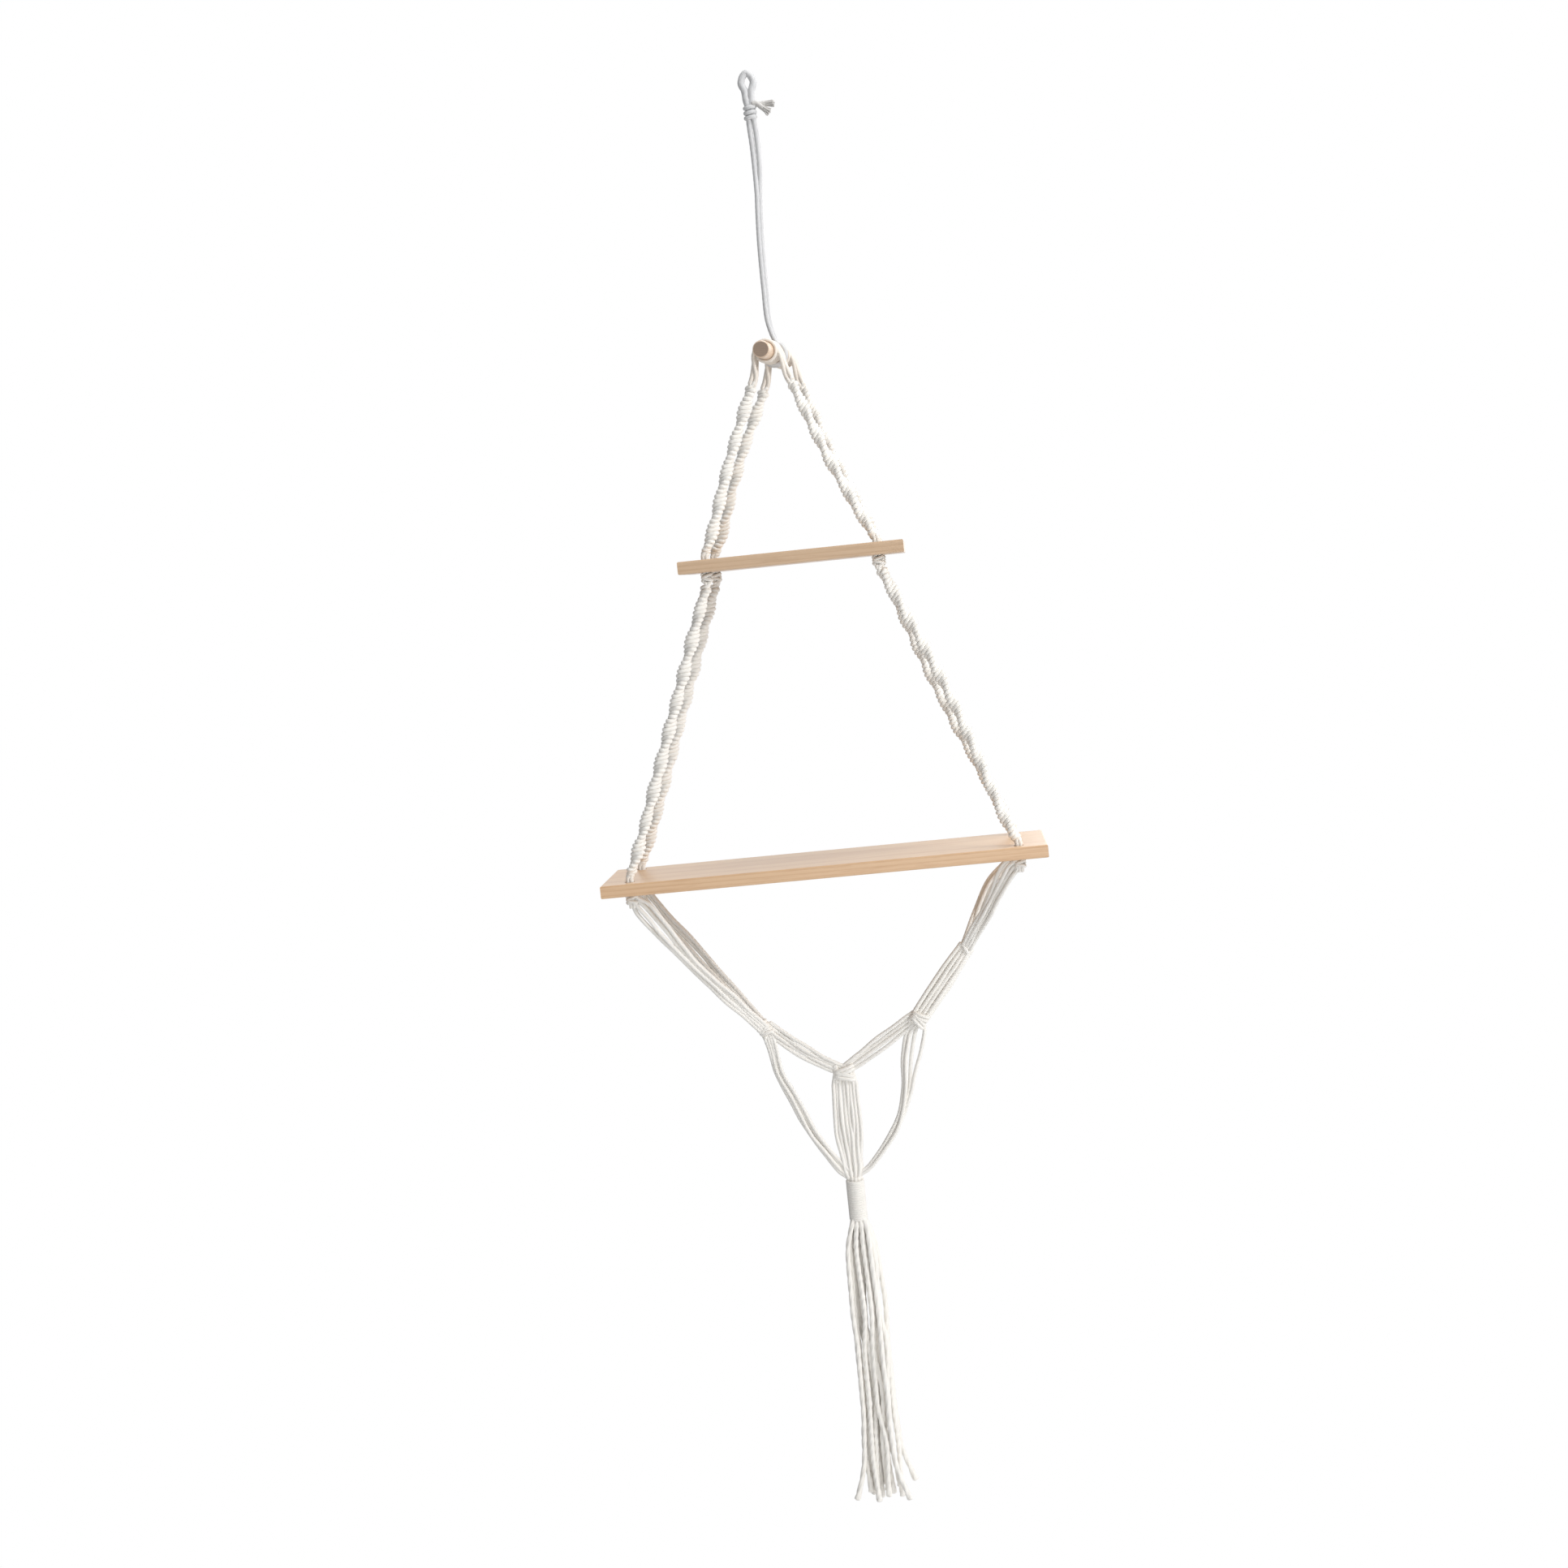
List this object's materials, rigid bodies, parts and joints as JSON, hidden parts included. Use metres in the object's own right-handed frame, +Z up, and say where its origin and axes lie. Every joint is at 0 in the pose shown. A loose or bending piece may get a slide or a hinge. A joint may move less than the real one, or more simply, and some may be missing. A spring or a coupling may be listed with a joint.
{
  "type": "hanging rope shelf",
  "caption": "Two-tier hanging shelf: a short wooden board over a long one on knotted cotton ropes that hang from a dowel and a looped cord, with a wrapped tassel below.",
  "frame": {"origin": "the point where a hook bears on the inside of the hanging loop, at the top of the shelf", "axes": "+X to the right along the boards, +Y to the back through their depth, +Z up"},
  "size_m": [0.42, 0.1308, 1.3741],
  "materials": {
    "board_wood": "light softwood, sanded, clear matt",
    "dowel_wood": "round dowel, sanded, bare",
    "cotton": "natural white twisted cotton cord, matt"
  },
  "bodies": {
    "loop": {"hanging_loop": "cotton"},
    "knot": {"hanging_knot": "cotton"},
    "legs": {"hanging_legs_upper": "cotton"},
    "hitch": {"hanging_legs_lower": "cotton"},
    "shelf": {"back_cord_turn_1": "cotton", "back_cord_turn_2": "cotton", "back_cord_turn_3": "cotton", "back_cord_turn_4": "cotton", "back_left_rope_lower": "cotton", "back_left_rope_upper": "cotton", "back_left_stop_knot_lower": "cotton", "back_left_stop_knot_upper": "cotton", "back_left_strands": "cotton", "back_right_rope_lower": "cotton", "back_right_rope_upper": "cotton", "back_right_stop_knot_lower": "cotton", "back_right_stop_knot_upper": "cotton", "back_right_strands": "cotton", "centre_knot": "cotton", "centre_strands": "cotton", "dowel": "dowel_wood", "front_cord_turn_1": "cotton", "front_cord_turn_2": "cotton", "front_cord_turn_3": "cotton", "front_cord_turn_4": "cotton", "front_left_rope_lower": "cotton", "front_left_rope_upper": "cotton", "front_left_stop_knot_lower": "cotton", "front_left_stop_knot_upper": "cotton", "front_left_strands": "cotton", "front_right_rope_lower": "cotton", "front_right_rope_upper": "cotton", "front_right_stop_knot_lower": "cotton", "front_right_stop_knot_upper": "cotton", "front_right_strands": "cotton", "left_inner_swag": "cotton", "left_outer_swag": "cotton", "left_side_knot": "cotton", "lower_board": "board_wood", "right_band": "cotton", "right_inner_swag": "cotton", "right_neck_knot": "cotton", "right_outer_swag": "cotton", "right_side_knot": "cotton", "upper_board": "board_wood"},
    "tassel_top": {"gathering_wrap": "cotton", "tassel_neck": "cotton"},
    "tassel": {"tassel_back_left": "cotton", "tassel_back_right": "cotton", "tassel_front_left": "cotton", "tassel_front_right": "cotton"}
  },
  "joints": [
    {"name": "loop_side_swing", "type": "hinge", "parent": "loop", "child": "knot", "pos_m": [0, 0, -0.02], "axis": [0, 1, 0], "range_deg": [-30, 30]},
    {"name": "cord_front_swing", "type": "hinge", "parent": "knot", "child": "legs", "pos_m": [0, 0, -0.0394], "axis": [1, 0, 0], "range_deg": [-30, 30]},
    {"name": "shelf_turn", "type": "hinge", "parent": "legs", "child": "hitch", "pos_m": [0, 0, -0.11], "axis": [0, 0, 1], "range_deg": [-180, 180]},
    {"name": "shelf_side_tilt", "type": "hinge", "parent": "hitch", "child": "shelf", "pos_m": [0, 0, -0.2575], "axis": [0.1305, 0.9914, 0], "range_deg": [-20, 20]},
    {"name": "tassel_front_swing", "type": "hinge", "parent": "shelf", "child": "tassel_top", "pos_m": [-0.003, 0, -1.051], "axis": [1, 0, 0], "range_deg": [-30, 30]},
    {"name": "tassel_side_swing", "type": "hinge", "parent": "tassel_top", "child": "tassel", "pos_m": [-0.003, 0, -1.09985], "axis": [0, 1, 0], "range_deg": [-60, 60]}
  ]
}
